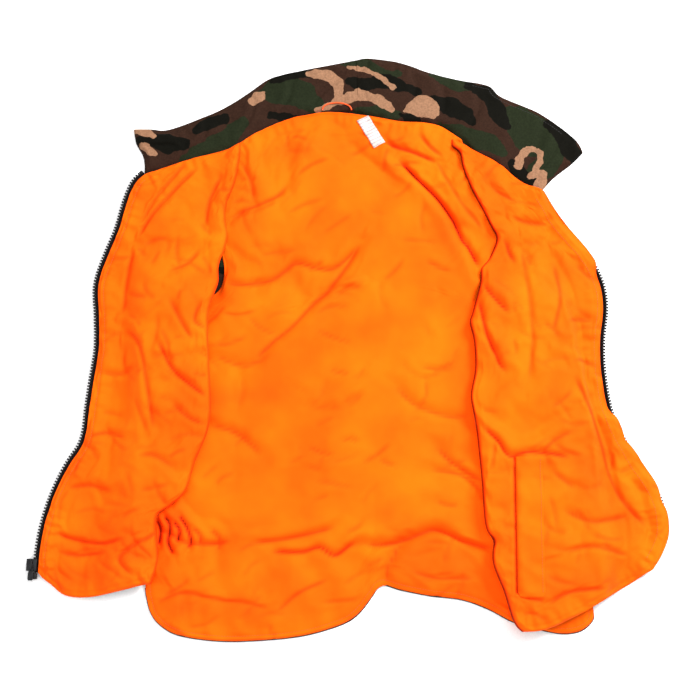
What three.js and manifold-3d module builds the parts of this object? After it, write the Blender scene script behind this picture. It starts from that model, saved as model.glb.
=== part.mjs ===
// A reversible insulated vest, laid open and flat with its orange side up.
// Both fronts are folded back on themselves, so each has a narrow side section under a wide top layer.
// Units are millimetres: +X to the right as it lies, +Y towards the collar, +Z up.
import * as THREE from 'three';
import Module from 'manifold-3d';

const wasm = await Module();
wasm.setup();

// Layers
const fabric = 0.8; // one face, shell or lining
const gap = 0.3; // air between two pieces that touch
const loft = 8; // polyester fill in a panel at its fullest
const collarLoft = 5;
const backTop = fabric * 2 + gap * 2 + loft; // upper face of the back
const sideFloor = backTop + gap; // the side sections rest on the back
const frontFloor = sideFloor + backTop + 0.7; // the folded fronts rest on the side sections
const sideSeamDrop = 3.5; // a side section dips to the back at its side seam

// Zip
const zipHeight = 3.6; // underside of a front at its zip
const tapeThickness = 0.6;
const tapeInside = 3; // tape caught between shell and lining
const tapeOutside = 2.5;
const chainWidth = 4.2;
const chainHeight = 4.4;
const tapeLow = zipHeight + fabric + gap;
const tapeMiddle = tapeLow + tapeThickness / 2;
const chainInside = tapeOutside + gap;
const chainMiddle = chainInside + chainWidth / 2;
const zipArc = { x: -109, y: -293, radius: 273, from: 145, to: 180 }; // lower left zip, degrees
const chainRadius = zipArc.radius + chainMiddle;
const slider = { angle: 178.1, length: 15, width: 13, height: 9, play: 0.5 };
const channelPitch = 3.1; // from the slider's middle to the middle of each of its two channels
const bridge = { length: 11, width: 3, height: 3.4, post: 2.2, bar: 1.2 };
const pull = { length: 20, width: 6.6, thickness: 1.6, eyeLength: 6.2, eyeWidth: 3.8, lift: 1.4 };
const retainer = { length: 8, width: 10, height: 8, overhang: 1.5 };
const pinShare = 0.033; // insertion pin's share of the right zip's length
const stopShare = 0.0085; // top stop's share of a zip's length
const shareGap = 0.001;

// Colours
const orange = 0xff7a0a;
const camo = 0x2f3d2b;
const fillWhite = 0xf2f0ea;
const zipBlack = 0x1b1416;

const finishes = {
  shell: { color: orange, roughness: 0.75, metalness: 0 },
  lining: { color: camo, roughness: 0.8, metalness: 0 },
  outer: { color: camo, roughness: 0.8, metalness: 0 },
  fill: { color: fillWhite, roughness: 1, metalness: 0 },
  tape: { color: zipBlack, roughness: 0.85, metalness: 0 },
  moulded: { color: zipBlack, roughness: 0.45, metalness: 0 },
  metal: { color: 0x2a2526, roughness: 0.4, metalness: 0.8 },
  label: { color: 0xf4f4f2, roughness: 0.7, metalness: 0 },
  elastic: { color: 0xe8e4dc, roughness: 0.9, metalness: 0 },
};

const vest = new THREE.Group();

function addPiece(name, geometry, finish) {
  const mesh = new THREE.Mesh(geometry, new THREE.MeshStandardMaterial(finishes[finish]));
  mesh.name = name;
  vest.add(mesh);
  return mesh;
}

// A smooth line through a few plan points, read by its fraction of length
function line(points) {
  const curve = new THREE.SplineCurve(points.map(([x, y]) => new THREE.Vector2(x, y)));
  curve.arcLengthDivisions = 400;
  return (t) => curve.getPointAt(Math.min(1, Math.max(0, t)));
}

// Straight runs between plan points, read by its fraction of length
function polyline(points) {
  const path = new THREE.CurvePath();
  for (let k = 1; k < points.length; k += 1) {
    const start = new THREE.Vector2(...points[k - 1]);
    path.add(new THREE.LineCurve(start, new THREE.Vector2(...points[k])));
  }
  return (t) => path.getPointAt(Math.min(1, Math.max(0, t)));
}

// Grid of plan points: lines run along the guides, columns are fractions between each pair of guides
function planGrid(guides, columns, rows) {
  const grid = [];
  for (let g = 0; g + 1 < guides.length; g += 1) {
    for (const share of columns[g]) {
      if (g > 0 && share === 0) continue;
      grid.push(rows.map((v) => guides[g](v).clone().lerp(guides[g + 1](v), share)));
    }
  }
  return grid;
}

// Closed solid between two heights over the kept cells of a plan grid
function gridSolid(grid, low, high, keep = () => true) {
  const across = grid.length - 1;
  const along = grid[0].length - 1;
  const positions = [];
  const ids = new Map();
  const faces = [];
  const kept = (i, j) => i >= 0 && j >= 0 && i < across && j < along && keep(i, j);
  const vertex = (i, j, top) => {
    const key = `${i},${j},${top}`;
    if (!ids.has(key)) {
      ids.set(key, positions.length / 3);
      positions.push(grid[i][j].x, grid[i][j].y, top ? high(i, j) : low(i, j));
    }
    return ids.get(key);
  };
  const quad = (a, b, c, d) => faces.push(a, b, c, a, c, d);
  for (let i = 0; i < across; i += 1) {
    for (let j = 0; j < along; j += 1) {
      if (!kept(i, j)) continue;
      const ring = [[i, j], [i + 1, j], [i + 1, j + 1], [i, j + 1]];
      quad(...ring.map(([p, q]) => vertex(p, q, true)));
      const under = ring.map(([p, q]) => vertex(p, q, false));
      faces.push(under[0], under[2], under[1], under[0], under[3], under[2]);
      const neighbours = [[i, j - 1], [i + 1, j], [i, j + 1], [i - 1, j]]; // in the order of the ring's sides
      neighbours.forEach(([p, q], side) => {
        if (kept(p, q)) return;
        const [a, b] = [ring[side], ring[(side + 1) % 4]];
        quad(vertex(...a, false), vertex(...b, false), vertex(...b, true), vertex(...a, true));
      });
    }
  }
  const [p, q, r] = [grid[0][0], grid[1][0], grid[1][1]];
  const clockwise = (q.x - p.x) * (r.y - p.y) - (q.y - p.y) * (r.x - p.x) < 0;
  if (clockwise) {
    for (let f = 0; f < faces.length; f += 3) {
      [faces[f + 1], faces[f + 2]] = [faces[f + 2], faces[f + 1]];
    }
  }
  const geometry = new THREE.BufferGeometry();
  geometry.setAttribute('position', new THREE.Float32BufferAttribute(positions, 3));
  geometry.setIndex(faces);
  geometry.computeVertexNormals();
  return geometry;
}

// Fullness of a panel at each grid line: pinched at its rims, full inside
const rimFullness = [0, 0.5];
function fullness(count) {
  const share = (n) => rimFullness[n] ?? 1;
  return Array.from({ length: count }, (unused, k) => Math.min(share(k), share(count - 1 - k)));
}

// Two faces with fill between them: the under face, the fill and the upper face
function paddedPanel({ name, grid, base, puff, height, zipLine, under, upper, pocket, fillLift = 0 }) {
  const rim = (i) => (i >= zipLine - 1 ? tapeThickness + gap : 0);
  const fillTop = (i, j) => base(i, j) + fabric + gap + height * puff(i, j);
  const upperLow = (i, j) => fillTop(i, j) + (puff(i, j) > 0 ? gap : rim(i));
  const inPocket = (i, j) => pocket && i >= pocket.i0 && i <= pocket.i1 && j >= pocket.j0 && j <= pocket.j1;
  const lastColumn = grid.length - 2;
  const lastRow = grid[0].length - 2;
  addPiece(`${name}_${under}`, gridSolid(grid, base, (i, j) => base(i, j) + fabric), under);
  addPiece(
    `${name}_batting`,
    gridSolid(
      grid,
      (i, j) => base(i, j) + fabric + gap + fillLift,
      (i, j) => (inPocket(i, j) ? base(i, j) + fabric + gap + pocket.fill : fillTop(i, j)),
      (i, j) => i > 0 && j > 0 && i < lastColumn && j < lastRow,
    ),
    'fill',
  );
  const mouth = (i, j) => pocket && i === pocket.i0 && j >= pocket.j0 && j < pocket.j1;
  addPiece(
    `${name}_${upper}`,
    gridSolid(grid, upperLow, (i, j) => upperLow(i, j) + fabric, (i, j) => !mouth(i, j)),
    upper,
  );
  return { fillTop, upperLow };
}

// Flat strip beside a stretch of a plan path, between two offsets to its right and two heights
const headingReach = 0.002; // share of a path's length each way that gives its direction
function stripSolid(path, [start, end], steps, [from, to], [low, high]) {
  const grid = [from, to].map((offset) => {
    const row = [];
    for (let k = 0; k <= steps; k += 1) {
      const t = start + ((end - start) * k) / steps;
      const ahead = path(Math.min(1, t + headingReach));
      const behind = path(Math.max(0, t - headingReach));
      const heading = ahead.clone().sub(behind).normalize();
      row.push(path(t).clone().add(new THREE.Vector2(heading.y, -heading.x).multiplyScalar(offset)));
    }
    return row;
  });
  return gridSolid(grid, () => low, () => high);
}

// Box with its middle at a plan point, turned about Z
function turnedBox(name, finish, size, at, degrees) {
  const mesh = addPiece(name, new THREE.BoxGeometry(...size), finish);
  mesh.position.set(...at);
  mesh.rotation.z = THREE.MathUtils.degToRad(degrees);
  return mesh;
}

function toManifold(geometry) {
  const index = Array.from(geometry.index.array);
  const source = geometry.attributes.position;
  const vertProperties = [];
  const seen = new Map();
  const triVerts = index.map((id) => {
    const point = [source.getX(id), source.getY(id), source.getZ(id)];
    const key = point.map((value) => value.toFixed(5)).join();
    if (!seen.has(key)) {
      seen.set(key, vertProperties.length / 3);
      vertProperties.push(...point);
    }
    return seen.get(key);
  });
  const mesh = new wasm.Mesh({
    numProp: 3,
    vertProperties: new Float32Array(vertProperties),
    triVerts: new Uint32Array(triVerts),
  });
  return new wasm.Manifold(mesh);
}

function fromManifold(solid) {
  const { vertProperties, triVerts } = solid.getMesh();
  const geometry = new THREE.BufferGeometry();
  geometry.setAttribute('position', new THREE.BufferAttribute(new Float32Array(vertProperties), 3));
  geometry.setIndex(new THREE.BufferAttribute(new Uint32Array(triVerts), 1));
  geometry.computeVertexNormals();
  return geometry;
}

function boxAt(width, length, height, x, y, z) {
  return new THREE.BoxGeometry(width, length, height).translate(x, y, z);
}

// Back panel, with an armhole notch each side and a dropped tail
const panelRows = [0, 0.025, 0.07, 0.2, 0.36, 0.5, 0.61, 0.68, 0.76, 0.87, 0.95, 0.98, 1];
const backEdgeLeft = polyline([[-248, -308], [-246, -80], [-239, 38], [-160, 62], [-151, 120], [-133, 258]]);
const backEdgeRight = polyline([
  [300, -336], [300, -228], [292, -103], [268, 28], [176, 50], [170, 125], [149, 258],
]);
const backGuides = [
  backEdgeLeft,
  line([[-225, -360], [-220, -100], [-140, 70], [-112, 276]]),
  line([[-155, -376], [-145, -60], [-80, 289]]),
  line([[-70, -371], [-60, -50], [-40, 297]]),
  line([[8, -350], [12, -50], [12, 299]]),
  line([[42, -307], [45, -50], [40, 294]]),
  line([[145, -326], [120, -50], [80, 287]]),
  line([[258, -366], [250, -120], [150, 60], [122, 280]]),
  backEdgeRight,
];
const backColumns = [[0, 0.45, 1], [0, 1], [0, 1], [0, 1], [0, 1], [0, 0.5, 1], [0, 1], [0, 0.6, 1]];
const backGrid = planGrid(backGuides, backColumns, panelRows);
const backAcross = fullness(backGrid.length);
const backAlong = fullness(panelRows.length);
const elasticRoom = 1.3;
paddedPanel({
  name: 'back',
  grid: backGrid,
  base: () => 0,
  puff: (i, j) => backAcross[i] * backAlong[j],
  height: loft,
  under: 'lining',
  upper: 'shell',
  fillLift: elasticRoom,
});

// Waist elastic, flat between the back's lining and its fill
const elastic = { width: 460, depth: 25, thickness: 0.9, x: 22, y: -258 };
const elasticZ = fabric + gap + elastic.thickness / 2;
const elasticBox = [elastic.width, elastic.depth, elastic.thickness];
turnedBox('back_waist_elastic', 'elastic', elasticBox, [elastic.x, elastic.y, elasticZ], 0);

// Side sections: the stretch of each front from its side seam to the fold, lining up
function sideSection(name, seam, fold) {
  const rows = [0, 0.05, 0.25, 0.5, 0.75, 0.95, 1];
  const grid = planGrid([seam, fold], [[0, 0.2, 0.6, 0.85, 1]], rows);
  const across = fullness(grid.length);
  const along = fullness(rows.length);
  paddedPanel({
    name,
    grid,
    base: (i) => sideFloor - (i === 0 ? sideSeamDrop : 0),
    puff: (i, j) => across[i] * along[j],
    height: loft,
    under: 'shell',
    upper: 'lining',
  });
}
sideSection(
  'left_side',
  polyline([[-247, -306], [-245, -80], [-238, 34]]),
  polyline([[-238, -304], [-234, -240], [-200, -190], [-188, -118], [-176, -18], [-170, 36]]),
);
sideSection(
  'right_side',
  polyline([[296, -330], [299, -228], [291, -103], [266, 25]]),
  polyline([[188, -345], [182, -300], [174, -140], [167, -18], [172, 44]]),
);

// Zip paths follow the fabric edge of each front, from the hem to the neck
const arcPoint = (degrees, radius) => {
  const angle = THREE.MathUtils.degToRad(degrees);
  return new THREE.Vector2(zipArc.x + radius * Math.cos(angle), zipArc.y + radius * Math.sin(angle));
};
const arcSteps = 16;
const arcPoints = Array.from({ length: arcSteps + 1 }, (unused, k) => {
  const degrees = zipArc.to + ((zipArc.from - zipArc.to) * k) / arcSteps;
  const { x, y } = arcPoint(degrees, zipArc.radius);
  return [x, y];
});
const leftZip = line([
  ...arcPoints,
  [-327, -116], [-325, -92], [-321, -58], [-315, -12], [-316, 30], [-318, 70], [-307, 108], [-294, 142],
  [-284, 180], [-274, 205], [-262, 217],
]);
const rightZip = line([
  [370, -285], [382, -266], [390, -243], [388, -214], [378, -188], [359, -158], [340, -124], [327, -90],
  [320, -42], [320, 0], [325, 42], [320, 76], [303, 108], [268, 152], [246, 190],
]);

// Fronts, folded back: over the side sections near the fold, on the table near the zip
const frontRows = [
  0, 0.025, 0.075, 0.2, 0.27, 0.335, 0.4, 0.47, 0.53, 0.59, 0.655, 0.75, 0.8, 0.86, 0.94, 0.975, 1,
];
// Shares of a front's length between which it comes down to the table
const shoulder = { low: 0.8, high: 0.66 };
const lift = (v) => THREE.MathUtils.clamp((shoulder.low - v) / (shoulder.low - shoulder.high), 0, 1);
// Grid lines over which a front rises to its zip, and level lines beside it
const zipRamp = { lines: 2, flat: 1 };
function frontBase(crest, foot, zip) {
  return (i, j) => {
    const rise = i <= crest ? 1 : Math.max(0, (foot - i) / (foot - crest));
    const edge = (i - zip + zipRamp.lines + zipRamp.flat) / zipRamp.lines;
    return Math.max(frontFloor * rise * lift(frontRows[j]), zipHeight * THREE.MathUtils.clamp(edge, 0, 1));
  };
}
const frontColumns = [[0, 0.09, 0.19, 0.28, 0.6, 0.9, 1], [0, 1], [0, 0.45, 0.72, 1]];
const crestLine = 6;
const footLine = 7;
const zipLine = 10;
const frontAcross = fullness(zipLine + 1);
const frontAlong = fullness(frontRows.length);
const frontPuff = (i, j) => frontAcross[i] * frontAlong[j];
const base = frontBase(crestLine, footLine, zipLine);

const leftGuides = [
  polyline([
    [-250, -309], [-238, -278], [-234, -236], [-203, -190], [-190, -118], [-177, -18], [-166, 70],
    [-148, 160], [-135, 256],
  ]),
  line([[-272, -314], [-262, -235], [-257, -110], [-252, 0], [-238, 80], [-205, 237]]),
  line([[-340, -323], [-332, -235], [-305, -150], [-288, -80], [-284, 0], [-282, 80], [-245, 226]]),
  leftZip,
];
const leftGrid = planGrid(leftGuides, frontColumns, frontRows);
paddedPanel({
  name: 'left_front',
  grid: leftGrid,
  base,
  puff: frontPuff,
  height: loft,
  zipLine,
  under: 'lining',
  upper: 'shell',
});

const rightGuides = [
  polyline([
    [212, -363], [190, -330], [184, -300], [178, -200], [173, -118], [167, -18], [172, 46], [184, 110],
    [172, 170], [151, 258],
  ]),
  line([[305, -332], [308, -240], [301, -110], [281, 0], [262, 60], [226, 120], [190, 234]]),
  line([[342, -311], [346, -240], [326, -140], [303, -60], [295, 20], [277, 90], [240, 140], [214, 215]]),
  rightZip,
];
const rightGrid = planGrid(rightGuides, frontColumns, frontRows);
// Pocket: grid lines across (i) and along (j), and the fill behind it
const pocket = { i0: 2, i1: 5, j0: 2, j1: 5, fill: 1 };
const rightFront = paddedPanel({
  name: 'right_front',
  grid: rightGrid,
  base,
  puff: frontPuff,
  height: loft,
  zipLine,
  under: 'lining',
  upper: 'shell',
  pocket,
});

// Pocket bag: two sheets under the shell, open at the welt
const bagFabric = 0.6;
const bagCells = (i, j) => i >= pocket.i0 && i < pocket.i1 && j >= pocket.j0 && j < pocket.j1;
const bagFloor = (i, j) => base(i, j) + fabric + gap + pocket.fill + gap;
addPiece(
  'pocket_bag_inner',
  gridSolid(rightGrid, bagFloor, (i, j) => bagFloor(i, j) + bagFabric, bagCells),
  'lining',
);
const bagCeiling = (i, j) => rightFront.upperLow(i, j) - gap;
addPiece(
  'pocket_bag_outer',
  gridSolid(
    rightGrid,
    (i, j) => bagCeiling(i, j) - bagFabric,
    bagCeiling,
    (i, j) => bagCells(i, j) && i > pocket.i0,
  ),
  'lining',
);

// Welt: a folded strip that covers the pocket mouth, stitched along its edge nearest the zip
const welt = { width: 33, length: 176, thickness: 1.4, x: 224, y: -236, lift: 0.1 };
const frontTop = frontFloor + backTop;
const weltZ = frontTop + gap + welt.lift + welt.thickness / 2;
turnedBox('pocket_welt', 'shell', [welt.width, welt.length, welt.thickness], [welt.x, welt.y, weltZ], 0);

// Stand collar, lying flat, in three lengths that meet over the two folds
function collarLength(name, neck, top, rows) {
  const grid = planGrid([neck, top], [[0, 0.14, 0.5, 0.86, 1]], rows);
  const across = fullness(grid.length);
  const along = fullness(rows.length);
  paddedPanel({
    name,
    grid,
    base: () => 0,
    puff: (i, j) => across[i] * along[j],
    height: collarLoft,
    under: 'lining',
    upper: 'outer',
  });
}
const endRows = [0, 0.08, 0.3, 0.55, 0.8, 0.93, 1];
const backCollarRows = [0, 0.05, 0.17, 0.3, 0.43, 0.57, 0.7, 0.83, 0.95, 1];
collarLength(
  'collar_left',
  polyline([[-264, 221], [-246, 229], [-205, 240], [-136, 259]]),
  line([[-279, 278], [-240, 279], [-196, 293], [-160, 309], [-124, 333]]),
  endRows,
);
collarLength(
  'collar_back',
  polyline([
    [-133, 262], [-110, 281], [-79, 293], [-40, 301], [12, 303], [41, 298], [80, 291], [124, 287], [148, 263],
  ]),
  line([[-122, 335], [-100, 348], [-62, 360], [-20, 369], [30, 376], [70, 370], [108, 357], [141, 348]]),
  backCollarRows,
);
collarLength(
  'collar_right',
  polyline([[151, 262], [199, 235], [226, 212], [250, 194]]),
  line([[144, 347], [184, 338], [202, 324], [252, 299], [306, 248]]),
  endRows,
);

// Hanger loop: a thin cord arch sewn into the neck seam, lying on the collar
const loop = { rise: 10, span: 38, thickness: 1.8, x: -14, y: 303, lift: 0.2, sides: 8, steps: 14 };
const collarTop = fabric * 2 + gap * 2 + collarLoft;
const loopZ = collarTop + gap + loop.lift + loop.thickness / 2;
const loopPoints = Array.from({ length: loop.steps + 1 }, (unused, k) => {
  const angle = Math.PI * (1 - k / loop.steps);
  const x = loop.x + (loop.span / 2) * Math.cos(angle);
  return new THREE.Vector3(x, loop.y + loop.rise * Math.sin(angle), loopZ);
});
const loopSection = new THREE.Shape();
loopSection.absarc(0, 0, loop.thickness / 2, 0, Math.PI * 2);
addPiece(
  'hanger_loop',
  new THREE.ExtrudeGeometry(loopSection, {
    curveSegments: loop.sides,
    steps: loop.steps,
    extrudePath: new THREE.CatmullRomCurve3(loopPoints),
  }),
  'shell',
);

// Care label, sewn in by its top edge and lying on the back
const label = { width: 19, length: 44, thickness: 0.5, x: 30, y: 272, lift: 0.3, turn: 28 };
const labelZ = backTop + gap + label.lift + label.thickness / 2;
const labelBox = [label.width, label.length, label.thickness];
turnedBox('care_label', 'label', labelBox, [label.x, label.y, labelZ], label.turn);

// Zip tapes, chains and top stops
const zips = {
  left: { path: leftZip, side: -1, start: 0 },
  right: { path: rightZip, side: 1, start: pinShare },
};
const zipSteps = 60;
const chainLow = tapeMiddle - chainHeight / 2;
const chainHeights = [chainLow, chainLow + chainHeight];
for (const [name, { path, side, start }] of Object.entries(zips)) {
  const offsets = (...pair) => pair.map((offset) => side * offset);
  const chainOffsets = offsets(chainInside, chainInside + chainWidth);
  const tapeHeights = [tapeLow, tapeLow + tapeThickness];
  addPiece(
    `${name}_zipper_tape`,
    stripSolid(path, [0, 1], zipSteps, offsets(-tapeInside, tapeOutside), tapeHeights),
    'tape',
  );
  addPiece(
    `${name}_zipper_teeth`,
    stripSolid(path, [start, 1 - stopShare - shareGap], zipSteps, chainOffsets, chainHeights),
    'moulded',
  );
  const stop = stripSolid(path, [1 - stopShare, 1], 1, chainOffsets, chainHeights);
  addPiece(`${name}_top_stop`, stop, 'moulded');
}

// Insertion pin, on the right tape below its teeth
const pinWidth = 3.2;
const pinHeight = 3.2;
addPiece(
  'insertion_pin',
  stripSolid(
    rightZip,
    [0, pinShare - shareGap],
    3,
    [chainInside, chainInside + pinWidth],
    [tapeMiddle - pinHeight / 2, tapeMiddle + pinHeight / 2],
  ),
  'moulded',
);

// Slider at the foot of the left chain. Its own X points out from the arc's centre and its Y to the hem.
const sliderRadius = chainRadius + channelPitch;
const sliderAt = arcPoint(slider.angle, sliderRadius);
const channelWidth = chainWidth + slider.play * 2;
const channelLength = slider.length + 2;
const channelHeight = chainHeight + slider.play * 2;
const tapeSlot = tapeThickness + slider.play * 2;
let sliderSolid = toManifold(boxAt(slider.width, slider.length, slider.height, 0, 0, 0));
for (const side of [-1, 1]) {
  const channel = boxAt(channelWidth, channelLength, channelHeight, side * channelPitch, 0, 0);
  const slot = boxAt(slider.width / 2, channelLength, tapeSlot, side * (slider.width / 2), 0, 0);
  sliderSolid = sliderSolid.subtract(toManifold(channel)).subtract(toManifold(slot));
}
function onSlider(name, geometry, finish, z) {
  const mesh = addPiece(name, geometry, finish);
  mesh.position.set(sliderAt.x, sliderAt.y, z);
  mesh.rotation.z = THREE.MathUtils.degToRad(slider.angle);
}
const bridgeLow = slider.height / 2 + gap;
const bridgeMiddle = bridgeLow + bridge.height / 2;
const bridgeHole = bridge.length - bridge.post * 2;
const bridgeArch = boxAt(bridge.width, bridge.length, bridge.height, 0, 0, bridgeMiddle);
const bridgeGap = boxAt(bridge.width + 1, bridgeHole, bridge.height, 0, 0, bridgeMiddle - bridge.bar);
onSlider('slider_body', fromManifold(sliderSolid), 'metal', tapeMiddle);
onSlider(
  'slider_bridge',
  fromManifold(toManifold(bridgeArch).subtract(toManifold(bridgeGap))),
  'metal',
  tapeMiddle,
);

// Pull tab: a plate whose eye passes under the bridge. Its hinge line runs across the slider.
const pullStart = -pull.thickness / 2;
const pullPlate = boxAt(pull.width, pull.length, pull.thickness, 0, pullStart + pull.length / 2, 0);
const eyeY = pull.thickness / 2 + pull.eyeLength / 2;
const pullEye = boxAt(pull.eyeWidth, pull.eyeLength, pull.thickness + 1, 0, eyeY, 0);
const pullZ = tapeMiddle + slider.height / 2 + pull.lift;
onSlider('pull_tab', fromManifold(toManifold(pullPlate).subtract(toManifold(pullEye))), 'metal', pullZ);

// Retainer box, at the foot of the left tape
const retainerReach = retainer.length / 2 + gap;
const retainerAngle = zipArc.to + THREE.MathUtils.radToDeg(retainerReach / chainRadius);
const retainerAt = arcPoint(retainerAngle, chainRadius + retainer.overhang);
turnedBox(
  'retainer_box',
  'moulded',
  [retainer.width, retainer.length, retainer.height],
  [retainerAt.x, retainerAt.y, tapeMiddle],
  retainerAngle,
);

export default vest;
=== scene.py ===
import math

import bmesh
import bpy
import numpy as np
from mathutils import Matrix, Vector
from mathutils.bvhtree import BVHTree


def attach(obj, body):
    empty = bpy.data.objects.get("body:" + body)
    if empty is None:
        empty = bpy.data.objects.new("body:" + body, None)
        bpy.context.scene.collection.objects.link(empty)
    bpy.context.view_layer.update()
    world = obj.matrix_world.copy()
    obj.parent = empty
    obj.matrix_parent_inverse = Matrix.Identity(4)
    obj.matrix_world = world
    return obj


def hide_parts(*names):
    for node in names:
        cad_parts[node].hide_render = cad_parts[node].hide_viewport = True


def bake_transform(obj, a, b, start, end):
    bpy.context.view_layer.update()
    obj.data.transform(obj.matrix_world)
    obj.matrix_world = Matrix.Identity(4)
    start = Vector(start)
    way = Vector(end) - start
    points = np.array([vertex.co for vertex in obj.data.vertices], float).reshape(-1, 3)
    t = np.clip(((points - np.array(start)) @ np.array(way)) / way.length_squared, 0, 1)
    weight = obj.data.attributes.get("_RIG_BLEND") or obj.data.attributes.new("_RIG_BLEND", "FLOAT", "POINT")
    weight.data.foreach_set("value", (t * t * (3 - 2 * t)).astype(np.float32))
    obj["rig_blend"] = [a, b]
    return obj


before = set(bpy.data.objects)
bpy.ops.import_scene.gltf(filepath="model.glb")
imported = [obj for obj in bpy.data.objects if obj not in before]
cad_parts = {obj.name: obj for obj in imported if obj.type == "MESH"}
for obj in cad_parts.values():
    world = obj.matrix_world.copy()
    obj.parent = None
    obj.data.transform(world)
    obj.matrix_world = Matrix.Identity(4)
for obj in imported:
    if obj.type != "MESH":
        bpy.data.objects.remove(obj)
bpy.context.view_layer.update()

# An orange quilted vest laid open, both fronts folded back, with a camouflage collar and lining
mm = 0.001


def newObject(name, mesh):
    obj = bpy.data.objects.new(name, mesh)
    bpy.context.scene.collection.objects.link(obj)
    return obj


def meshObject(name, bm, materials, smooth=True):
    mesh = bpy.data.meshes.new(name)
    bm.to_mesh(mesh)
    bm.free()
    for material in materials:
        mesh.materials.append(material)
    mesh.polygons.foreach_set("use_smooth", [smooth] * len(mesh.polygons))
    return newObject(name, mesh)


def readPoints(mesh):
    flat = np.empty(len(mesh.vertices) * 3)
    mesh.vertices.foreach_get("co", flat)
    return flat.reshape(-1, 3)


def writePoints(mesh, points):
    mesh.vertices.foreach_set("co", np.asarray(points, float).ravel())
    mesh.update()


def smoothLine(points, steps=10):
    # Catmull-Rom line through plan points in mm
    p = np.array([points[0], *points, points[-1]], float)
    out = []
    for k in range(1, len(p) - 2):
        for s in range(steps):
            t = s / steps
            a, b, c, d = p[k - 1], p[k], p[k + 1], p[k + 2]
            square, cube = 2 * a - 5 * b + 4 * c - d, 3 * b - a - 3 * c + d
            out.append(0.5 * (2 * b + (c - a) * t + square * t ** 2 + cube * t ** 3))
    out.append(p[-2])
    return np.array(out)


def lineAt(line, t):
    # points at fractions t of the line's length
    gaps = np.hypot(*np.diff(line, axis=0).T)
    run = np.concatenate([[0], np.cumsum(gaps)]) / gaps.sum()
    return np.stack([np.interp(t, run, line[:, k]) for k in (0, 1)], -1)


def lineLength(line):
    return np.hypot(*np.diff(line, axis=0).T).sum()


def distanceTo(line, xy):
    # distance to a line, the side of it, and how far along it, for many plan points
    best = np.full(len(xy), 1e9)
    side = np.ones(len(xy))
    along = np.zeros(len(xy))
    before = 0
    for a, b in zip(line[:-1], line[1:]):
        run = b - a
        t = np.clip(((xy - a) @ run) / max(run @ run, 1e-9), 0, 1)
        off = xy - (a + t[:, None] * run)
        gap = np.hypot(off[:, 0], off[:, 1])
        nearer = gap < best
        best = np.where(nearer, gap, best)
        side = np.where(nearer, np.sign(run[0] * off[:, 1] - run[1] * off[:, 0]), side)
        along = np.where(nearer, before + t * math.hypot(*run), along)
        before += math.hypot(*run)
    return best, side, along


def ease(value):
    t = np.clip(value, 0, 1)
    return t * t * (3 - 2 * t)


def roundRim(gap, radius):
    return np.sqrt(1 - (1 - np.clip(gap / radius, 0, 1)) ** 2)


def linear(hexColour):
    channels = [int(hexColour[k:k + 2], 16) / 255 for k in (1, 3, 5)]
    return (*[c / 12.92 if c <= 0.04045 else ((c + 0.055) / 1.055) ** 2.4 for c in channels], 1)


def addNode(tree, kind, settings=None, **inputs):
    # one node, with its settings and its sockets: a value, or another node's output
    node = tree.nodes.new(kind)
    for key, value in (settings or {}).items():
        setattr(node, key, value)
    for key, value in inputs.items():
        numbered = key[0] == "i" and key[1:].isdigit()
        socket = node.inputs[int(key[1:]) if numbered else key.replace("_", " ")]
        if isinstance(value, bpy.types.NodeSocket):
            tree.links.new(value, socket)
        else:
            socket.default_value = value
    return node


def newMaterial(name):
    material = bpy.data.materials.new(name)
    material.use_nodes = True
    tree = material.node_tree
    shader = tree.nodes["Principled BSDF"]
    coords = addNode(tree, "ShaderNodeTexCoord").outputs["Object"]
    return material, tree, shader, coords


def weaveBump(tree, coords, thread, crinkle, depth, crinkleDepth):
    # plain weave from two crossed thread waves, over soft crinkles
    warp = addNode(tree, "ShaderNodeTexWave", {"bands_direction": "X"}, Vector=coords, Scale=0.314 / thread)
    weft = addNode(tree, "ShaderNodeTexWave", {"bands_direction": "Y"}, Vector=coords, Scale=0.314 / thread)
    cross = addNode(tree, "ShaderNodeMath", {"operation": "MULTIPLY"}, i0=warp.outputs[1], i1=weft.outputs[1])
    fine = addNode(tree, "ShaderNodeBump", Strength=0.35, Distance=depth, Height=cross.outputs[0])
    noise = addNode(tree, "ShaderNodeTexNoise", Vector=coords, Scale=0.5 / crinkle, Detail=3.0, Roughness=0.5)
    soft = addNode(tree, "ShaderNodeBump", Strength=0.6, Distance=crinkleDepth, Height=noise.outputs[0],
                   Normal=fine.outputs[0])
    return soft.outputs[0]


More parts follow.
